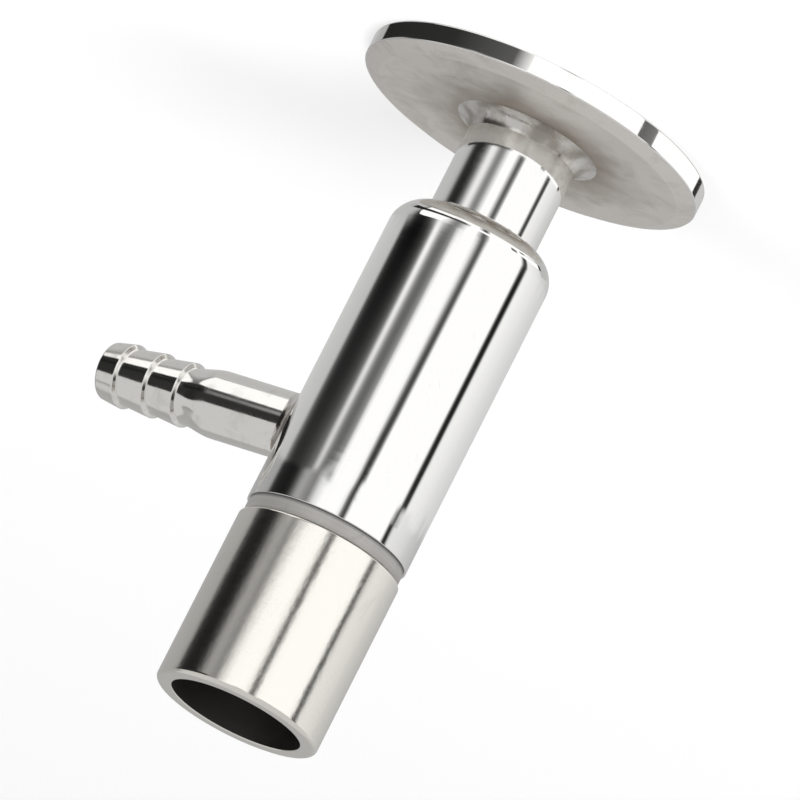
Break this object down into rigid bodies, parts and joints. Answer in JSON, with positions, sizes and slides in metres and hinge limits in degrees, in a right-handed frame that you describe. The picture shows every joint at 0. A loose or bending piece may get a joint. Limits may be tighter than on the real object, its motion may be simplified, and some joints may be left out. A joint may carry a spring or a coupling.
{
  "type": "sanitary sampling valve",
  "caption": "Stainless sampling valve with a clamp ferrule, a round barrel with a side hose barb, and a tubular knob that screws the stem's plug off its seat.",
  "frame": {"origin": "centre of the ferrule's sealing face", "axes": "+Z along the valve from the ferrule to the knob, +X out along the hose barb, Y across"},
  "size_m": [0.0687, 0.0506, 0.0952],
  "materials": {
    "polished_steel": "mirror-polished stainless steel",
    "ferrule_steel": "polished rim, dull turned underside",
    "weld_steel": "welded and lightly cleaned, heat-tinted",
    "satin_steel": "satin-brushed stainless steel",
    "machined_steel": "plain machined stainless steel",
    "slip_ring": "matte pale grey low-friction plastic",
    "silicone": "translucent white silicone",
    "seal_rubber": "black sealing rubber"
  },
  "bodies": {
    "valve_body": {"ferrule": "ferrule_steel", "ferrule_weld": "weld_steel", "neck_tube": "polished_steel", "barrel": "polished_steel", "hose_barb": "polished_steel", "barb_weld": "weld_steel", "bonnet": "machined_steel", "bonnet_o_ring": "seal_rubber", "guide_bush": "slip_ring", "slip_washer": "slip_ring"},
    "plug": {"seat_plug": "silicone", "plug_core": "machined_steel"},
    "knob": {"stem": "machined_steel", "lower_stem_o_ring": "seal_rubber", "upper_stem_o_ring": "seal_rubber", "knob_sleeve": "satin_steel", "knob_core": "machined_steel", "flat_washer": "machined_steel", "spring_washer": "machined_steel", "stem_nut": "machined_steel"}
  },
  "joints": [
    {"name": "stem_lift", "type": "slide", "parent": "valve_body", "child": "plug", "axis": [0, 0, 1], "range_m": [0, 0.005]},
    {"name": "knob_turn", "type": "hinge", "parent": "plug", "child": "knob", "pos_m": [0, 0, 0.0823], "axis": [0, 0, 1], "range_deg": [0, 720]}
  ],
  "couplings": [
    {"joint": "knob_turn", "follows": "stem_lift", "rad_per_m": 2513.3}
  ]
}
